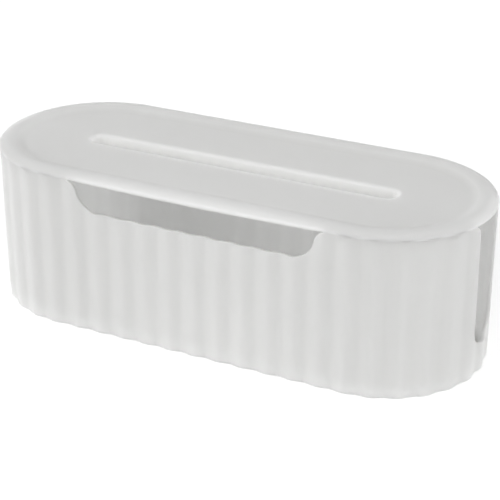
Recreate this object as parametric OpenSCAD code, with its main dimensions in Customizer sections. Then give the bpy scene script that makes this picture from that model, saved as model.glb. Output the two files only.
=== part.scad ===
// Cable management box: a fluted, round-ended tub with a lift-off lid.
// The tub stands on four rubber pads, is open at the top of its front wall
// and has a tall cable slot in each round end. The lid is a thin dished
// moulding with a full-round rim, a locating lip and a deep stand groove.
//
// Origin: centre of the footprint, on the surface that the box stands on.
// +X runs along the box, -Y is the front wall, +Z is up. Millimetres.

/* [Overall] */
// Length over the lid's rim
box_len = 340; // [300:1:380]
// Width over the lid's rim
box_w = 135; // [120:1:150]
// Height of the tub's wall, from its underside to its top edge
tub_h = 105.8; // [90:0.1:125]

/* [Tub wall] */
// Thickness of the fluted wall, the same at crests and valleys
wall_t = 2.2; // [1.8:0.1:3]
// Thickness of the tub's floor
floor_t = 3; // [2.4:0.1:4]
// How far the lid's edge stands out past the flute crests
lid_overhang = 0.3; // [0:0.1:1]
// Depth of a flute, from crest to valley
flute_depth = 1.4; // [0.8:0.1:2.2]
// Flutes along each straight side
side_flutes = 12; // [8:2:16]
// Flutes round each end
end_flutes = 12; // [8:2:16]
// Steps in which one flute's wave is drawn
flute_steps = 8; // [6:1:10]

/* [Front opening] */
// Width of the opening where its ends are steepest
front_w = 163.4; // [120:0.2:180]
// Depth of the opening below the wall's top edge
front_depth = 20.4; // [12:0.1:30]
// Radius of the opening's bottom corners
front_corner_r = 15; // [10:0.5:18]
// Radius that flares the opening's ends into the wall's top edge
front_flare_r = 9; // [4:0.5:12]

/* [End slots] */
// Width of each end slot at the top of its straight sides
slot_w = 33.2; // [32:0.2:36]
// Height of the slot's lowest point above the tub's underside
slot_foot = 20; // [12:0.5:40]
// Lean of the slot's sides, in degrees, so that it narrows towards its foot
slot_lean = 1.9; // [0:0.1:2]
// Radius of the slot's bottom corners
slot_corner_r = 14; // [8:0.5:14]
// Radius that flares the slot's sides into the wall's top edge
slot_flare_r = 6.5; // [3:0.5:8]

/* [Lid] */
// Thickness of the lid's skin
lid_t = 2.3; // [1.8:0.1:3]
// Radius of the rim's outer edge
rim_edge_r = 2.3; // [1.5:0.1:4]
// Radius over the top of the rim, outside its crown
rim_crown_r = 13.5; // [9:0.1:16]
// Radius from the crown down the inner flank
rim_shoulder_r = 9; // [6:0.1:11]
// Radius of the cove where the flank meets the sunk panel
rim_cove_r = 12; // [8:0.1:14]
// Steepest slope of the inner flank, in degrees
flank_slope = 30; // [20:1:35]
// Upright part of the lid's outer edge
rim_land = 0.2; // [0.1:0.1:1]
// Depth of the locating lip below the wall's top edge
lip_depth = 3; // [2:0.5:6]
// Thickness of the locating lip
lip_t = 1.8; // [1.5:0.1:2.5]
// Gap between the lip and the innermost line of the wall
lip_gap = 0.7; // [0.4:0.1:1.2]

/* [Stand groove] */
// Length of the groove between its upright end walls
groove_len = 217.4; // [160:0.2:240]
// Width of the groove between its upright side walls
groove_w = 13.8; // [10:0.2:20]
// Depth of the groove below the sunk panel
groove_depth = 10; // [8:0.5:16]
// Radius that rounds the groove's mouth
mouth_r = 2.5; // [1:0.1:3.5]

/* [Feet] */
// Diameter of each rubber pad
foot_d = 14; // [10:0.5:20]
// Thickness of each rubber pad
foot_t = 2; // [1.6:0.1:2.4]
// How far each pad stands proud of the tub's underside
foot_proud = 0.8; // [0.5:0.1:1.2]
// Distance of the pads from the box's middle, along its length
foot_x = 96; // [70:1:110]
// Distance of the pads from the box's middle, across its width
foot_y = 44; // [30:1:48]

/* [Hidden] */

// Roundness of the revolved solids
$fn = 96;
// How far cutting solids run past what they cut
overrun = 2;
// Steps in which a cut-out's corner or flare is drawn
corner_steps = 10;

// The plan is a stadium: two half-turns about these centres
half_straight = (box_len - box_w) / 2;
lid_r = box_w / 2;
crest_r = lid_r - lid_overhang;

// Levels above the surface that the box stands on
underside_z = foot_proud;
wall_top_z = underside_z + tub_h;

// Lid section: heights above the wall's top edge and insets from the edge
edge_turn = 60;
edge_end_u = rim_edge_r * (1 - cos(edge_turn));
edge_end_z = rim_land + rim_edge_r * sin(edge_turn);
crown_u = edge_end_u + rim_crown_r * cos(edge_turn);
crown_centre_z = edge_end_z - rim_crown_r * sin(edge_turn);
crown_z = crown_centre_z + rim_crown_r;
shoulder_centre_z = crown_z - rim_shoulder_r;
cove_u = crown_u + (rim_shoulder_r + rim_cove_r) * sin(flank_slope);
cove_centre_z = shoulder_centre_z + (rim_shoulder_r + rim_cove_r) * cos(flank_slope);
panel_z = cove_centre_z - rim_cove_r;
lip_u = lid_overhang + flute_depth + wall_t + lip_gap;
arc_steps = 6;

// Stand groove: its clear half-width and the trough that encloses it
groove_r = groove_w / 2;
groove_half = groove_len / 2 - groove_r;
trough_r = groove_r + lid_t;

tub_colour = "whitesmoke";
lid_colour = "white";
foot_colour = "gainsboro";

// Depth of the wave at a phase in degrees: 0 on a crest, 1 in a valley
function wave(phase) = (1 - cos(phase)) / 2;

// Points of one straight side of a fluted outline, from -X to +X at -Y
function side_points(r) = [
  for (i = [0 : side_flutes * flute_steps - 1])
    let (
      along = i / (side_flutes * flute_steps),
      dip = flute_depth * wave(360 * i / flute_steps)
    )
    [half_straight * (2 * along - 1), dip - r]
];

// Points of one fluted half-turn about the +X centre, from -Y round to +Y
function end_points(r) = [
  for (i = [0 : end_flutes * flute_steps - 1])
    let (
      angle = 180 * i / (end_flutes * flute_steps) - 90,
      dip = flute_depth * wave(360 * i / flute_steps)
    )
    [half_straight + (r - dip) * cos(angle), (r - dip) * sin(angle)]
];

// The fluted stadium whose crests lie at radius r
module fluted_outline(r) {
  half = concat(side_points(r), end_points(r));
  polygon(concat(half, [for (p = half) -p]));
}

// Points on an arc, from one angle to another in equal steps
function arc(centre, r, from, to, steps) = [
  for (i = [0 : steps])
    let (angle = from + (to - from) * i / steps)
    centre + r * [cos(angle), sin(angle)]
];

// Right half of a cut-out's edge: up from its foot, round the bottom
// corner, up the leaning side and out along the flare to the wall's top edge
function cut_side(half_w, foot_z, corner_r, flare_r, lean) =
  let (
    rise = wall_top_z - foot_z,
    sweep = min(90 - lean, acos(max(0, 1 - rise / (corner_r + flare_r)))),
    straight = rise - (corner_r + flare_r) * (1 - cos(sweep)),
    corner_x = half_w - straight * tan(lean) - corner_r * sin(sweep),
    flare_x = half_w + flare_r * sin(sweep)
  )
  concat(
    arc([corner_x, foot_z + corner_r], corner_r, 270, 270 + sweep, corner_steps),
    arc([flare_x, wall_top_z - flare_r], flare_r, 90 + sweep, 90, corner_steps),
    [[flare_x, wall_top_z + overrun]]
  );

// The whole cut-out, mirrored about its middle
module cut_outline(half_w, foot_z, corner_r, flare_r, lean = 0) {
  right = cut_side(half_w, foot_z, corner_r, flare_r, lean);
  last = len(right) - 1;
  left = [for (i = [0 : last]) [-right[last - i][0], right[last - i][1]]];
  polygon(concat(right, left));
}

module foot_place(side_x, side_y) {
  translate([side_x * foot_x, side_y * foot_y, 0])
    children();
}

// Fluted shell with its floor, before anything is cut from it
module tub_shell() {
  difference() {
    translate([0, 0, underside_z])
      linear_extrude(tub_h)
        fluted_outline(crest_r);
    translate([0, 0, underside_z + floor_t])
      linear_extrude(tub_h)
        fluted_outline(crest_r - wall_t);
  }
}

// Shallow seats under the floor that locate the stick-on pads
module foot_seats() {
  seat_clearance = 0.2;
  for (side_x = [-1, 1], side_y = [-1, 1])
    foot_place(side_x, side_y)
      cylinder(d = foot_d + 2 * seat_clearance, h = foot_t);
}

module tub() {
  color(tub_colour)
    difference() {
      tub_shell();
      // front opening, from the middle out through the front wall
      rotate([90, 0, 0])
        linear_extrude(box_w)
          cut_outline(front_w / 2, wall_top_z - front_depth, front_corner_r, front_flare_r);
      // one pass along the box cuts both end slots
      translate([-box_len, 0, 0])
        rotate([90, 0, 90])
          linear_extrude(2 * box_len)
            cut_outline(
              slot_w / 2, underside_z + slot_foot, slot_corner_r, slot_flare_r, slot_lean
            );
      foot_seats();
    }
}

// Upper line of the lid's section, from its outer edge to the panel
function lid_top_line() = concat(
  arc([rim_edge_r, rim_land], rim_edge_r, 180, 180 - edge_turn, arc_steps),
  arc([crown_u, crown_centre_z], rim_crown_r, 180 - edge_turn, 90, arc_steps),
  arc([crown_u, shoulder_centre_z], rim_shoulder_r, 90, 90 - flank_slope, arc_steps),
  arc([cove_u, cove_centre_z], rim_cove_r, 270 - flank_slope, 270, arc_steps)
);

// Lower line, from the panel back under the rim, round the lip and out
function lid_under_line() = concat(
  arc([cove_u, cove_centre_z], rim_cove_r + lid_t, 270, 270 - flank_slope, arc_steps),
  arc([crown_u, shoulder_centre_z], rim_shoulder_r - lid_t, 90 - flank_slope, 90, arc_steps),
  [
    [lip_u + lip_t, crown_z - lid_t],
    [lip_u + lip_t, -lip_depth],
    [lip_u, -lip_depth],
    [lip_u, 0],
    [0, 0]
  ]
);

// Half of the lid's section as [distance from the middle, height]
function lid_half_section() = [
  for (p = concat(
    lid_top_line(),
    [[lid_r, panel_z], [lid_r, panel_z - lid_t]],
    lid_under_line()
  ))
    [lid_r - p[0], p[1]]
];

// The dished lid without its groove: a straight run between two half-turns
module lid_dish() {
  section = lid_half_section();
  for (side = [0, 180])
    rotate([0, 0, side])
      translate([half_straight, 0, 0])
        rotate_extrude(angle = 180, start = -90)
          polygon(section);
  for (side = [0, 1])
    mirror([0, side, 0])
      translate([-half_straight, 0, 0])
        rotate([90, 0, 90])
          linear_extrude(2 * half_straight)
            polygon(section);
}

// A stadium prism about the groove's line
module groove_prism(r, bottom_z, top_z) {
  translate([0, 0, bottom_z]) {
    for (side = [-1, 1])
      translate([side * groove_half, 0, 0])
        cylinder(r = r, h = top_z - bottom_z);
    translate([-groove_half, -r, 0])
      cube([2 * groove_half, 2 * r, top_z - bottom_z]);
  }
}

// Half of the groove's clear section, with its rounded mouth
function groove_half_section() = concat(
  [[0, panel_z - groove_depth], [groove_r, panel_z - groove_depth]],
  arc([groove_r + mouth_r, panel_z - mouth_r], mouth_r, 180, 100, arc_steps),
  [[groove_r + mouth_r, panel_z + overrun], [0, panel_z + overrun]]
);

// The space inside the groove
module groove_space() {
  section = groove_half_section();
  for (side = [0, 180])
    rotate([0, 0, side])
      translate([groove_half, 0, 0])
        rotate_extrude(angle = 180, start = -90)
          polygon(section);
  for (side = [0, 1])
    mirror([0, side, 0])
      translate([-groove_half, 0, 0])
        rotate([90, 0, 90])
          linear_extrude(2 * groove_half)
            polygon(section);
}

module lid() {
  color(lid_colour)
    translate([0, 0, wall_top_z])
      difference() {
        union() {
          lid_dish();
          groove_prism(trough_r + mouth_r, panel_z - mouth_r - lid_t, panel_z - lid_t / 2);
          groove_prism(trough_r, panel_z - groove_depth - lid_t, panel_z - lid_t / 2);
        }
        groove_space();
      }
}

// A rubber pad with a small chamfer round the face it stands on
module foot() {
  chamfer = 0.5;
  r = foot_d / 2;
  color(foot_colour)
    rotate_extrude()
      polygon([[0, 0], [r - chamfer, 0], [r, chamfer], [r, foot_t], [0, foot_t]]);
}

module front_left_foot() {
  foot_place(-1, -1) foot();
}

module front_right_foot() {
  foot_place(1, -1) foot();
}

module rear_left_foot() {
  foot_place(-1, 1) foot();
}

module rear_right_foot() {
  foot_place(1, 1) foot();
}

tub();
lid();
front_left_foot();
front_right_foot();
rear_left_foot();
rear_right_foot();
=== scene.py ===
"""Looks of the cable management box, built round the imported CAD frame. Lengths are in
millimetres up to the making of each mesh, and in metres from there on."""

import math

import bmesh
import bpy
from mathutils import Matrix, Vector


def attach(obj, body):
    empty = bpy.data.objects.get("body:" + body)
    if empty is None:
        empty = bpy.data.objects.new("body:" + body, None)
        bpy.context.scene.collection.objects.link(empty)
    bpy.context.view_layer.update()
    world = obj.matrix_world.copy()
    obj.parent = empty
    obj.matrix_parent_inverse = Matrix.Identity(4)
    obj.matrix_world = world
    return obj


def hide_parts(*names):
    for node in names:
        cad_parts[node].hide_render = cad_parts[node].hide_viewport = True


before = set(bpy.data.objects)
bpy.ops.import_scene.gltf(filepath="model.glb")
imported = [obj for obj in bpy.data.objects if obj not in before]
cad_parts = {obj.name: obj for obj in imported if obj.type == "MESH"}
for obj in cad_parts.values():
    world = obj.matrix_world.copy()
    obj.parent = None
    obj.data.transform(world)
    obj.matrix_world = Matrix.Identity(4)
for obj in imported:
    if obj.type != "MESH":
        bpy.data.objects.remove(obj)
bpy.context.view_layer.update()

MM = 0.001

# ---------------------------------------------------------------- dimensions, as in the CAD
BOX_LEN = 340.0
BOX_W = 135.0
PAD_PROUD = 0.8
TUB_H = 105.8
WALL_TOP = PAD_PROUD + TUB_H
WALL_T = 2.2
FLOOR_T = 3.0
FLUTE_DEPTH = 1.4
SIDE_FLUTES = 12
END_FLUTES = 12
ALL_FLUTES = 2 * (SIDE_FLUTES + END_FLUTES)
FRONT_W = 163.4
FRONT_DEPTH = 20.4
FRONT_CORNER_R = 15.0
FRONT_FLARE_R = 9.0
SLOT_W = 33.2
SLOT_FOOT = 20.0
SLOT_LEAN = math.radians(1.9)
SLOT_CORNER_R = 14.0
SLOT_FLARE_R = 6.5
HALF = (BOX_LEN - BOX_W) / 2

LID_R = BOX_W / 2
LID_T = 2.3
LID_OVERHANG = 0.3
RIM_EDGE_R = 2.3
RIM_CROWN_R = 13.5
RIM_SHOULDER_R = 9.0
RIM_COVE_R = 12.0
RIM_LAND = 0.2
FLANK_SLOPE = math.radians(30)
EDGE_TURN = math.radians(60)
LIP_DEPTH = 3.0
LIP_T = 1.8
LIP_GAP = 0.7
GROOVE_LEN = 217.4
GROOVE_W = 13.8
GROOVE_DEPTH = 10.0
MOUTH_R = 2.5

PAD_D = 14.0
PAD_T = 2.0
PAD_X = 96.0
PAD_Y = 44.0
SEAT_GAP = 0.2

# ---------------------------------------------------------------- small forms of the looks alone
CUT_ROUND = 0.45          # both edges of the wall's cut top
BASE_ROUND = 1.5          # under the tub
FLOOR_ROUND = 6.0         # between the wall and the floor inside
CREST_R = LID_R - 0.1     # the flutes' crests, almost flush with the lid's edge
RIM_UNDER_R = 0.25        # the rim's lowest edge
RIM_DROP = 0.05           # how far that edge hangs below the wall's top
LIP_ROOT_R = 0.3
LIP_END_R = 0.5
TROUGH_ROOT_R = 2.5
TROUGH_EDGE_R = 1.5
GROOVE_DRAFT = 0.8        # at the groove's floor
MOUTH_DRAFT = 0.1         # at its mouth
GROOVE_CORNER = 3.0       # along its floor
PAD_ROUND = 0.5
SAG = 1.1                 # droop of the lid's edge over the front opening
SAG_HALF = 84.0

# ---------------------------------------------------------------- sampling
STEPS_PER_FLUTE = 16
WALL_ROWS = 22
CUT_STEP = 1.05
SIDE_STEP = 3.0
SHORTEST = 1e-3           # a straight shorter than this is left out
ROUND_STEPS = 4
LID_ROUND_STEPS = 56
LID_SIDE_STEPS = 40
PAD_STEPS = 48
END_ROUNDS = 12           # rounds of the search for a flute count on the right end
TOP_ROW = 1.2             # depth of a skin's highest row below the cut edge
FALL_SHARE = 0.35         # weight of a fall against a step along the wall
FRONT_ANCHOR = 0.4        # flutes from the front's ends where a column stands straight
SLOT_ANCHOR = 3           # flutes to each side of a slot where one does
# a row this far past a round keeps the flat beside it flat in the shading
HOLD = 0.5
THIN_HOLD = 0.3
LAND_HOLD = 0.4
PANEL_HOLD = 0.6
PANEL_INSET = 6.0
SHARP_DEGREES = 35
WELD = 1e-7               # metres


# ================================================================ tub
def flute_dip(k):
    return FLUTE_DEPTH * (1 - math.cos(2 * math.pi * k)) / 2


def outline(k, inset):
    """A point of the fluted outline. k counts flutes anticlockwise from x = -HALF on the front."""
    k %= ALL_FLUTES
    r = CREST_R - inset - flute_dip(k)
    if k < SIDE_FLUTES:
        return 2 * HALF * k / SIDE_FLUTES - HALF, -r
    k -= SIDE_FLUTES
    if k < END_FLUTES:
        a = math.pi * (k / END_FLUTES - 0.5)
        return HALF + r * math.cos(a), r * math.sin(a)
    k -= END_FLUTES
    if k < SIDE_FLUTES:
        return HALF - 2 * HALF * k / SIDE_FLUTES, r
    k -= SIDE_FLUTES
    a = math.pi * (k / END_FLUTES + 0.5)
    return r * math.cos(a) - HALF, r * math.sin(a)


def front_k(x):
    """Flute count at this x on the front."""
    return (x + HALF) / (2 * HALF) * SIDE_FLUTES


def right_end_k(y, inset):
    """Flute count at which the right end's outline crosses this y."""
    k = SIDE_FLUTES + END_FLUTES / 2
    for _ in range(END_ROUNDS):
        a = math.asin(y / (CREST_R - inset - flute_dip(k)))
        k = SIDE_FLUTES + END_FLUTES * (a / math.pi + 0.5)
    return k


def spread(start, end, step):
    """Evenly spread numbers from start up to but not including end."""
    n = max(1, round(abs(end - start) / step))
    return [start + (end - start) * i / n for i in range(n)]


def cut_half(half_w, foot_z, corner_r, flare_r, lean):
    """Right half of a cut-out's edge, from its middle to the wall top: across, z, and the
    direction out of the wall."""
    rise = WALL_TOP - foot_z
    sweep = min(math.pi / 2 - lean, math.acos(max(0.0, 1 - rise / (corner_r + flare_r))))
    straight = rise - (corner_r + flare_r) * (1 - math.cos(sweep))
    corner_x = half_w - straight * math.tan(lean) - corner_r * math.sin(sweep)
    flare_x = half_w + flare_r * math.sin(sweep)
    edge = [(x, foot_z, 0.0, 1.0) for x in spread(0, corner_x, CUT_STEP)]
    for a in spread(0, sweep, CUT_STEP / corner_r):
        c, s = math.sin(a), -math.cos(a)
        edge.append((corner_x + corner_r * c, foot_z + corner_r + corner_r * s, -c, -s))
    low = foot_z + corner_r * (1 - math.cos(sweep))
    high = WALL_TOP - flare_r * (1 - math.cos(sweep))
    if high - low > SHORTEST:
        edge += [(half_w - (high - z) * math.tan(lean), z, -math.cos(lean), math.sin(lean))
                 for z in spread(low, high, SIDE_STEP)]
    for a in spread(sweep, 0, CUT_STEP / flare_r):
        c, s = -math.sin(a), math.cos(a)
        edge.append((flare_x + flare_r * c, WALL_TOP - flare_r + flare_r * s, c, s))
    edge.append((flare_x, WALL_TOP, 0.0, 1.0))
    return edge


def whole_cut(half_w, foot_z, corner_r, flare_r, lean=0.0):
    right = cut_half(half_w, foot_z, corner_r, flare_r, lean)
    left = [(-c, z, -nc, nz) for c, z, nc, nz in right[:0:-1]]
    return left + right


def wall_edge():
    """Samples along the tub's top edge, anticlockwise, down and up again through each cut-out."""
    front = whole_cut(FRONT_W / 2, WALL_TOP - FRONT_DEPTH, FRONT_CORNER_R, FRONT_FLARE_R)
    slot = whole_cut(SLOT_W / 2, PAD_PROUD + SLOT_FOOT, SLOT_CORNER_R, SLOT_FLARE_R, SLOT_LEAN)
    reach_k = front_k(front[-1][0])
    middle = SIDE_FLUTES + END_FLUTES / 2
    far_middle = middle + SIDE_FLUTES + END_FLUTES
    slot_k = right_end_k(slot[-1][0], 0.0)
    slot_reach = slot_k - middle

    def wall(start, end):
        return [("wall", k, WALL_TOP, 0.0, 1.0) for k in spread(start, end, 1 / STEPS_PER_FLUTE)]

    edge = wall(0, SIDE_FLUTES - reach_k)
    edge += [("front",) + s for s in front]
    edge += wall(reach_k, middle - slot_reach)[1:]
    edge += [("right",) + s for s in slot]
    edge += wall(slot_k, far_middle - slot_reach)[1:]
    edge += [("left",) + s for s in reversed(slot)]
    edge += wall(far_middle + slot_reach, ALL_FLUTES)[1:]
    return edge


def edge_k(sample, d, inset):
    """Flute count and height of a point d below the cut edge, on the skin at this inset."""
    kind, c, z, nc, nz = sample
    c -= nc * d
    z -= nz * d
    if kind == "wall":
        return c, z
    if kind == "front":
        return front_k(c), z
    k = right_end_k(c, inset)
    if kind == "left":
        k = 2 * SIDE_FLUTES + 3 * END_FLUTES - k
    return k, z


def foot_of_columns(edge):
    """Flute count of each column at the floor, spread so that no two columns cross."""
    tops = [edge_k(s, 0.0, 0.0) for s in edge]
    pitch = 2 * HALF / SIDE_FLUTES
    path = [0.0]
    for (k0, z0), (k1, z1) in zip(tops, tops[1:]):
        path.append(path[-1] + math.hypot((k1 - k0) * pitch, FALL_SHARE * (z1 - z0)))
    middle = SIDE_FLUTES + END_FLUTES / 2
    far_middle = middle + SIDE_FLUTES + END_FLUTES
    anchors = [0, FRONT_ANCHOR, SIDE_FLUTES / 2, SIDE_FLUTES - FRONT_ANCHOR]
    for m in (middle, far_middle):
        anchors += [m - SLOT_ANCHOR, m, m + SLOT_ANCHOR]
    marks = []
    for a in anchors:
        j = min(range(len(tops)), key=lambda i: (abs(tops[i][0] - a), tops[i][1]))
        marks.append((j, tops[j][0]))
    marks.append((len(tops) - 1, tops[-1][0]))
    feet = [0.0] * len(tops)
    for (j0, k0), (j1, k1) in zip(marks, marks[1:]):
        span = path[j1] - path[j0]
        for j in range(j0, j1 + 1):
            feet[j] = k0 + (k1 - k0) * (path[j] - path[j0]) / span
    return feet


def tub_rings():
    """Closed rings from the middle of the underside, up the outside, over the cut edge and
    down the inside to the floor."""
    edge = wall_edge()
    feet = foot_of_columns(edge)
    rings = []

    def flat_ring(inset, z):
        rings.append([outline(k, inset) + (z,) for k in feet])

    def edge_ring(d, depth):
        rings.append([outline(k, depth) + (z,) for k, z in (edge_k(s, d, depth) for s in edge)])

    def skin_rows(inset, low_z, order):
        tops = [edge_k(s, TOP_ROW, inset) for s in edge]
        for i in order:
            w = i / WALL_ROWS
            rings.append([outline(low + (k - low) * w, inset) + (low_z + (z - low_z) * w,)
                          for low, (k, z) in zip(feet, tops)])

    quarter = [math.pi / 2 * i / ROUND_STEPS for i in range(ROUND_STEPS + 1)]
    # the underside, its round and the outer skin
    flat_ring(BASE_ROUND + HOLD, PAD_PROUD)
    for a in quarter:
        flat_ring(BASE_ROUND * (1 - math.sin(a)), PAD_PROUD + BASE_ROUND * (1 - math.cos(a)))
    skin_rows(0.0, PAD_PROUD + BASE_ROUND, range(1, WALL_ROWS + 1))
    # the cut edge, rounded on both sides
    r = CUT_ROUND
    for a in quarter:
        edge_ring(r * (1 - math.sin(a)), r * (1 - math.cos(a)))
    edge_ring(0.0, r + THIN_HOLD)
    edge_ring(0.0, WALL_T - r - THIN_HOLD)
    for a in quarter:
        edge_ring(r * (1 - math.cos(a)), WALL_T - r * (1 - math.sin(a)))
    # the inner skin and the round at the floor
    low = PAD_PROUD + FLOOR_T + FLOOR_ROUND
    skin_rows(WALL_T, low, range(WALL_ROWS, 0, -1))
    for a in quarter:
        flat_ring(WALL_T + FLOOR_ROUND * (1 - math.cos(a)), low - FLOOR_ROUND * math.sin(a))
    flat_ring(WALL_T + FLOOR_ROUND + HOLD, PAD_PROUD + FLOOR_T)
    return rings


# ================================================================ mesh making
def vertex(bm, x, y, z):
    return bm.verts.new((x * MM, y * MM, z * MM))


def circle(bm, cx, cy, r, z):
    turns = [2 * math.pi * i / PAD_STEPS for i in range(PAD_STEPS)]
    return [vertex(bm, cx + r * math.cos(a), cy + r * math.sin(a), z) for a in turns]


def bridge(bm, low, high):
    """Faces between two closed rows. A row of one vertex makes a fan."""
    for j in range(max(len(low), len(high))):
        corners = (low[j % len(low)], low[(j + 1) % len(low)],
                   high[(j + 1) % len(high)], high[j % len(high)])
        bm.faces.new(list(dict.fromkeys(corners)))


def bridge_all(bm, rows):
    for low, high in zip(rows, rows[1:]):
        bridge(bm, low, high)


def bm_from_rings(rings):
    bm = bmesh.new()
    rows = [[vertex(bm, *p) for p in ring] for ring in rings]
    bridge_all(bm, rows)
    return bm, rows


def loop_edges(bm, row):
    pairs = zip(row, row[1:] + row[:1])
    return [bm.edges.get(pair) or bm.edges.new(pair) for pair in pairs]


def cap(bm, row, holes=()):
    """Fill a closed row, leaving the holes open."""
    edges = loop_edges(bm, row)
    for hole in holes:
        edges += loop_edges(bm, hole)
    bmesh.ops.triangle_fill(bm, use_beauty=True, use_dissolve=False, edges=edges)


def linked(name, data):
    obj = bpy.data.objects.new(name, data)
    bpy.context.scene.collection.objects.link(obj)
    return obj


def finish_piece(bm, name, material, body, node):
    """The piece's object, riding on its body in place of the CAD node."""
    bmesh.ops.remove_doubles(bm, verts=bm.verts, dist=WELD)
    bmesh.ops.recalc_face_normals(bm, faces=bm.faces)
    mesh = bpy.data.meshes.new(name)
    bm.to_mesh(mesh)
    bm.free()
    mesh.shade_smooth()
    mesh.set_sharp_from_angle(angle=math.radians(SHARP_DEGREES))
    mesh.materials.append(material)
    obj = linked(name, mesh)
    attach(obj, body)
    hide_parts(node)


def build_tub(material):
    bm, rows = bm_from_rings(tub_rings())
    seats = []
    for sx in (-1, 1):
        for sy in (-1, 1):
            place = (sx * PAD_X, sy * PAD_Y, PAD_D / 2 + SEAT_GAP)
            ring = circle(bm, *place, PAD_PROUD)
            deep = circle(bm, *place, PAD_T)
            bridge(bm, ring, deep)
            cap(bm, deep)
            seats.append(ring)
    cap(bm, rows[0], seats)
    cap(bm, rows[-1])
    finish_piece(bm, "tub_moulding", material, "box", "tub")


# ================================================================ lid
def stadium(half, r, z):
    ring = [(half * (2 * i / LID_SIDE_STEPS - 1), -r, z) for i in range(LID_SIDE_STEPS)]
    for i in range(LID_ROUND_STEPS):
        a = math.pi * (i / LID_ROUND_STEPS - 0.5)
        ring.append((half + r * math.cos(a), r * math.sin(a), z))
    return ring + [(-x, -y, z) for x, y, z in ring]


def drooped(ring, share):
    """The ring let down over the front opening, by this share of the edge's droop."""
    return [(x, y, z - share * SAG * max(0.0, 1 - (x / SAG_HALF) ** 2) * (y < 0))
            for x, y, z in ring]


def arc(cu, cz, r, start, end, steps):
    """Points on an arc in the section, angles in degrees."""
    turns = [math.radians(start + (end - start) * i / steps) for i in range(steps + 1)]
    return [(cu + r * math.cos(a), cz + r * math.sin(a)) for a in turns]


def lid_rings():
    """The lid's section carried round, from the groove's floor over the rim and back under it
    to the trough's underside. Section points are a distance across and a height."""
    slope = math.degrees(FLANK_SLOPE)
    turn = math.degrees(EDGE_TURN)
    edge_u = RIM_EDGE_R * (1 - math.cos(EDGE_TURN))
    edge_z = RIM_LAND + RIM_EDGE_R * math.sin(EDGE_TURN)
    crown_u = edge_u + RIM_CROWN_R * math.cos(EDGE_TURN)
    crown_c = edge_z - RIM_CROWN_R * math.sin(EDGE_TURN)
    crown_z = crown_c + RIM_CROWN_R
    shoulder_c = crown_z - RIM_SHOULDER_R
    cove_u = crown_u + (RIM_SHOULDER_R + RIM_COVE_R) * math.sin(FLANK_SLOPE)
    cove_c = shoulder_c + (RIM_SHOULDER_R + RIM_COVE_R) * math.cos(FLANK_SLOPE)
    panel = cove_c - RIM_COVE_R
    under = panel - LID_T

    # out from the groove's floor, across from the groove's centre line
    groove_r = GROOVE_W / 2
    groove_half = GROOVE_LEN / 2 - groove_r
    floor_z = panel - GROOVE_DEPTH
    corner_u = groove_r - GROOVE_DRAFT - GROOVE_CORNER
    groove = [(corner_u - HOLD, floor_z)]
    groove += arc(corner_u, floor_z + GROOVE_CORNER, GROOVE_CORNER, -90, 0, 6)
    groove.append((groove_r - MOUTH_DRAFT, panel - MOUTH_R - HOLD))
    groove += arc(groove_r + MOUTH_R, panel - MOUTH_R, MOUTH_R, 180, 90, 10)
    groove.append((groove_r + MOUTH_R + PANEL_HOLD, panel))

    # the dish, the rim, the lip and the underside, inwards from the lid's edge
    rim = [(cove_u + PANEL_INSET, panel), (cove_u + PANEL_HOLD, panel)]
    rim += arc(cove_u, cove_c, RIM_COVE_R, 270, 270 - slope, 10)
    rim += arc(crown_u, shoulder_c, RIM_SHOULDER_R, 90 - slope, 90, 8)[1:]
    rim += arc(crown_u, crown_c, RIM_CROWN_R, 90, 180 - turn, 8)[1:]
    rim += arc(RIM_EDGE_R, RIM_LAND, RIM_EDGE_R, 180 - turn, 180, 10)[1:]
    rim += arc(RIM_UNDER_R, RIM_UNDER_R - RIM_DROP, RIM_UNDER_R, 180, 270, 3)
    lip_u = LID_OVERHANG + FLUTE_DEPTH + WALL_T + LIP_GAP
    lip_in = lip_u + LIP_T
    end_c = LIP_END_R - LIP_DEPTH
    rim += [(RIM_UNDER_R + LAND_HOLD, 0.0), (lip_u - LIP_ROOT_R - THIN_HOLD, 0.0)]
    rim += arc(lip_u - LIP_ROOT_R, -LIP_ROOT_R, LIP_ROOT_R, 90, 0, 3)
    rim += arc(lip_u + LIP_END_R, end_c, LIP_END_R, 180, 270, 4)
    rim += arc(lip_in - LIP_END_R, end_c, LIP_END_R, 270, 360, 4)
    roof = crown_z - LID_T
    rim.append((lip_in, roof - LIP_END_R - HOLD))
    rim += arc(lip_in + LIP_END_R, roof - LIP_END_R, LIP_END_R, 180, 90, 4)
    rim += arc(crown_u, shoulder_c, RIM_SHOULDER_R - LID_T, 90, 90 - slope, 6)[1:]
    rim += arc(cove_u, cove_c, RIM_COVE_R + LID_T, 270 - slope, 270, 8)[1:]
    rim += [(cove_u + PANEL_HOLD, under), (cove_u + PANEL_INSET, under)]

    # the trough below the groove
    trough_r = groove_r + LID_T
    bottom = floor_z - LID_T
    edge_r, root_r = TROUGH_EDGE_R, TROUGH_ROOT_R
    trough = [(trough_r + root_r + PANEL_HOLD, under)]
    trough += arc(trough_r + root_r, under - root_r, root_r, 90, 180, 6)
    trough += [(trough_r, under - root_r - HOLD), (trough_r, bottom + edge_r + HOLD)]
    trough += arc(trough_r - edge_r, bottom + edge_r, edge_r, 0, -90, 5)
    trough.append((trough_r - edge_r - HOLD, bottom))

    rings = [stadium(groove_half, r, WALL_TOP + z) for r, z in groove]
    for u, z in rim:
        share = 1 - max(0.0, z) / crown_z if u < crown_u else 0.0
        rings.append(drooped(stadium(HALF, LID_R - u, WALL_TOP + z), share))
    rings += [stadium(groove_half, r, WALL_TOP + z) for r, z in trough]
    return rings


def build_lid(material):
    bm, rows = bm_from_rings(lid_rings())
    cap(bm, rows[0])
    cap(bm, rows[-1])
    finish_piece(bm, "lid_moulding", material, "cover", "lid")


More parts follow.
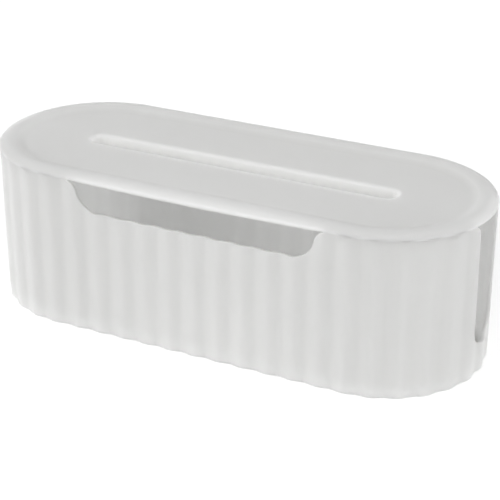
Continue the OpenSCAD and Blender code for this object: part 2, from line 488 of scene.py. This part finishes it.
# ================================================================ pads
def build_pad(node, sx, sy, material):
    """A round pad: a turned section with a rounded lower edge."""
    r = PAD_D / 2
    section = [(r / 2, 0.0), (r - PAD_ROUND - THIN_HOLD, 0.0)]
    section += arc(r - PAD_ROUND, PAD_ROUND, PAD_ROUND, -90, 0, 5)
    section += [(r, PAD_T - THIN_HOLD), (r - THIN_HOLD, PAD_T)]
    bm = bmesh.new()
    rows = [[vertex(bm, sx * PAD_X, sy * PAD_Y, 0.0)]]
    rows += [circle(bm, sx * PAD_X, sy * PAD_Y, u, z) for u, z in section]
    rows.append([vertex(bm, sx * PAD_X, sy * PAD_Y, PAD_T)])
    bridge_all(bm, rows)
    finish_piece(bm, node + "_pad", material, "box", node)


# ================================================================ materials
def emptied(owner):
    """The cleared node tree of a material or world."""
    owner.use_nodes = True
    owner.node_tree.nodes.clear()
    return owner.node_tree


def new_material(name):
    material = bpy.data.materials.new(name)
    tree = emptied(material)
    out = tree.nodes.new("ShaderNodeOutputMaterial")
    shader = tree.nodes.new("ShaderNodeBsdfPrincipled")
    tree.links.new(shader.outputs["BSDF"], out.inputs["Surface"])
    return material, tree, shader


def noise(tree, coords, scale, detail, roughness=0.5):
    node = tree.nodes.new("ShaderNodeTexNoise")
    node.inputs["Scale"].default_value = scale
    node.inputs["Detail"].default_value = detail
    node.inputs["Roughness"].default_value = roughness
    tree.links.new(coords.outputs["Object"], node.inputs["Vector"])
    return node.outputs["Fac"]


def tinted(tree, source, shader, *stops):
    """Base colour from a ramp between two stops of position and colour."""
    node = tree.nodes.new("ShaderNodeValToRGB")
    tree.links.new(source, node.inputs["Fac"])
    for element, (position, colour) in zip(node.color_ramp.elements, stops):
        element.position, element.color = position, colour + (1.0,)
    tree.links.new(node.outputs["Color"], shader.inputs["Base Color"])


def roughened(tree, source, shader, low, high):
    """Roughness between low and high, over the middle of the noise's range."""
    node = tree.nodes.new("ShaderNodeMapRange")
    node.inputs["From Min"].default_value = 0.3
    node.inputs["From Max"].default_value = 0.7
    node.inputs["To Min"].default_value = low
    node.inputs["To Max"].default_value = high
    tree.links.new(source, node.inputs["Value"])
    tree.links.new(node.outputs["Result"], shader.inputs["Roughness"])


def bumped(tree, shader, *layers):
    """Layers of bump, each a height, its depth in metres and its strength."""
    normal = None
    for height, distance, strength in layers:
        node = tree.nodes.new("ShaderNodeBump")
        node.inputs["Distance"].default_value = distance
        node.inputs["Strength"].default_value = strength
        tree.links.new(height, node.inputs["Height"])
        if normal is not None:
            tree.links.new(normal, node.inputs["Normal"])
        normal = node.outputs["Normal"]
    tree.links.new(normal, shader.inputs["Normal"])


def moulded_plastic(name):
    """Satin white moulding: faint cloudiness, fine spark-eroded grain, shallow sink waves."""
    material, tree, shader = new_material(name)
    coords = tree.nodes.new("ShaderNodeTexCoord")
    clouds = noise(tree, coords, scale=22.0, detail=3.0)
    patches = noise(tree, coords, scale=60.0, detail=4.0)
    waves = noise(tree, coords, scale=14.0, detail=1.0)
    grain = noise(tree, coords, scale=2200.0, detail=2.0, roughness=0.6)
    tinted(tree, clouds, shader, (0.35, (0.955, 0.955, 0.945)), (0.65, (0.965, 0.965, 0.955)))
    roughened(tree, patches, shader, low=0.44, high=0.54)
    bumped(tree, shader, (waves, 0.0006, 0.35), (grain, 0.00003, 0.6))
    shader.inputs["IOR"].default_value = 1.49
    shader.inputs["Specular IOR Level"].default_value = 0.42
    # thin translucent walls: the light that comes through lifts the inside
    shader.inputs["Subsurface Weight"].default_value = 0.7
    shader.inputs["Subsurface Radius"].default_value = (1.0, 1.0, 1.0)
    shader.inputs["Subsurface Scale"].default_value = 0.03
    return material


def soft_rubber(name):
    """Grey silicone: dull, a little dusty, with a fine pebble."""
    material, tree, shader = new_material(name)
    coords = tree.nodes.new("ShaderNodeTexCoord")
    dust = noise(tree, coords, scale=380.0, detail=5.0)
    pebble = noise(tree, coords, scale=1600.0, detail=3.0)
    tinted(tree, dust, shader, (0.35, (0.33, 0.33, 0.32)), (0.7, (0.40, 0.40, 0.385)))
    roughened(tree, dust, shader, low=0.72, high=0.86)
    bumped(tree, shader, (pebble, 0.00006, 0.5))
    shader.inputs["Specular IOR Level"].default_value = 0.3
    return material


# ================================================================ stage, light and camera
WHITE = (1, 1, 1, 1)
FLOOR_HALF = 6.0                 # metres
FLOOR_GREY = (0.8, 0.8, 0.8, 1)
FLOOR_LIFT = 0.45                # brings the lit floor up to white in the picture alone
AMBIENT = 0.425                  # the world's strength as a light
# name, azimuth from the front towards the right, elevation and width in degrees, strength
LAMPS = (("key", -24, 25, 28, 1.54),
         ("left", -94, 8, 50, 0.92),
         ("right", 95, 8, 50, 2.0))

CAMERA_AZIMUTH = 25.81
CAMERA_ELEVATION = 25.98
CAMERA_ROLL = 0.18
CAMERA_PLACE = (0.38921, -0.78716, 0.47437)
FRAME_PX = 500.0
FOCAL_PX = 1482.0
CENTRE_PX = (249.9, 250.0)
SENSOR_MM = 36.0
CLIP = (0.01, 50.0)              # metres


def towards(azimuth, elevation):
    """Unit vector in this direction, azimuth from the front towards the right, in degrees."""
    az, el = math.radians(azimuth), math.radians(elevation)
    return Vector((math.sin(az) * math.cos(el), -math.cos(az) * math.cos(el), math.sin(el)))


def seen_strength(tree, scale, base=0.0):
    """base for rays that carry light, base + scale for rays that see the surface directly or in
    a reflection."""
    path = tree.nodes.new("ShaderNodeLightPath")
    value = path.outputs["Is Camera Ray"]
    for other in ("Is Glossy Ray", "Is Transmission Ray"):
        node = tree.nodes.new("ShaderNodeMath")
        node.operation = "MAXIMUM"
        tree.links.new(value, node.inputs[0])
        tree.links.new(path.outputs[other], node.inputs[1])
        value = node.outputs["Value"]
    level = tree.nodes.new("ShaderNodeMath")
    level.operation = "MULTIPLY_ADD"
    level.inputs[1].default_value = scale
    level.inputs[2].default_value = base
    tree.links.new(value, level.inputs[0])
    return level.outputs["Value"]


def build_floor():
    """A pale floor that keeps the shadow and comes out white in the picture."""
    s = FLOOR_HALF
    mesh = bpy.data.meshes.new("floor")
    mesh.from_pydata([(-s, -s, 0), (s, -s, 0), (s, s, 0), (-s, s, 0)], [], [(0, 1, 2, 3)])
    material = bpy.data.materials.new("floor")
    tree = emptied(material)
    out = tree.nodes.new("ShaderNodeOutputMaterial")
    both = tree.nodes.new("ShaderNodeAddShader")
    diffuse = tree.nodes.new("ShaderNodeBsdfDiffuse")
    diffuse.inputs["Color"].default_value = FLOOR_GREY
    glow = tree.nodes.new("ShaderNodeEmission")
    glow.inputs["Color"].default_value = WHITE
    tree.links.new(seen_strength(tree, FLOOR_LIFT), glow.inputs["Strength"])
    tree.links.new(diffuse.outputs["BSDF"], both.inputs[0])
    tree.links.new(glow.outputs["Emission"], both.inputs[1])
    tree.links.new(both.outputs["Shader"], out.inputs["Surface"])
    mesh.materials.append(material)
    linked("floor", mesh)


def build_world():
    """A white backdrop that lights the object at AMBIENT and is seen at full strength."""
    world = bpy.data.worlds.new("studio")
    bpy.context.scene.world = world
    tree = emptied(world)
    out = tree.nodes.new("ShaderNodeOutputWorld")
    back = tree.nodes.new("ShaderNodeBackground")
    back.inputs["Color"].default_value = WHITE
    tree.links.new(seen_strength(tree, 1 - AMBIENT, AMBIENT), back.inputs["Strength"])
    tree.links.new(back.outputs["Background"], out.inputs["Surface"])


def build_lamps():
    """Broad soft lamps: a key from the front and above, a low one at each side."""
    for name, azimuth, elevation, width, strength in LAMPS:
        lamp = bpy.data.lights.new(name, "SUN")
        lamp.energy = strength
        lamp.angle = math.radians(width)
        turn = towards(azimuth, elevation).to_track_quat("Z", "Y")
        linked(name, lamp).rotation_euler = turn.to_euler()


def build_camera():
    back = towards(CAMERA_AZIMUTH, CAMERA_ELEVATION)
    roll = math.radians(CAMERA_ROLL)
    level = (-back).cross(Vector((0, 0, 1))).normalized()
    upright = level.cross(-back)
    right = math.cos(roll) * level + math.sin(roll) * upright
    up = math.cos(roll) * upright - math.sin(roll) * level
    data = bpy.data.cameras.new("photo")
    data.sensor_width = SENSOR_MM
    data.lens = FOCAL_PX * SENSOR_MM / FRAME_PX
    data.shift_x = (FRAME_PX / 2 - CENTRE_PX[0] - 0.5) / FRAME_PX
    data.shift_y = (CENTRE_PX[1] + 0.5 - FRAME_PX / 2) / FRAME_PX
    data.clip_start, data.clip_end = CLIP
    camera = linked("photo", data)
    turn = Matrix((right, up, back)).transposed().to_4x4()
    camera.matrix_world = Matrix.Translation(CAMERA_PLACE) @ turn
    bpy.context.scene.camera = camera


# ================================================================ the whole scene
plastic = moulded_plastic("white_shell")
rubber = soft_rubber("pad_rubber")
build_tub(plastic)
build_lid(plastic)
for node, sx, sy in (("front_left_foot", -1, -1), ("front_right_foot", 1, -1),
                     ("rear_left_foot", -1, 1), ("rear_right_foot", 1, 1)):
    build_pad(node, sx, sy, rubber)
build_floor()
build_world()
build_lamps()
build_camera()
bpy.context.scene.view_settings.view_transform = "Standard"
bpy.context.scene.cycles.diffuse_bounces = 12
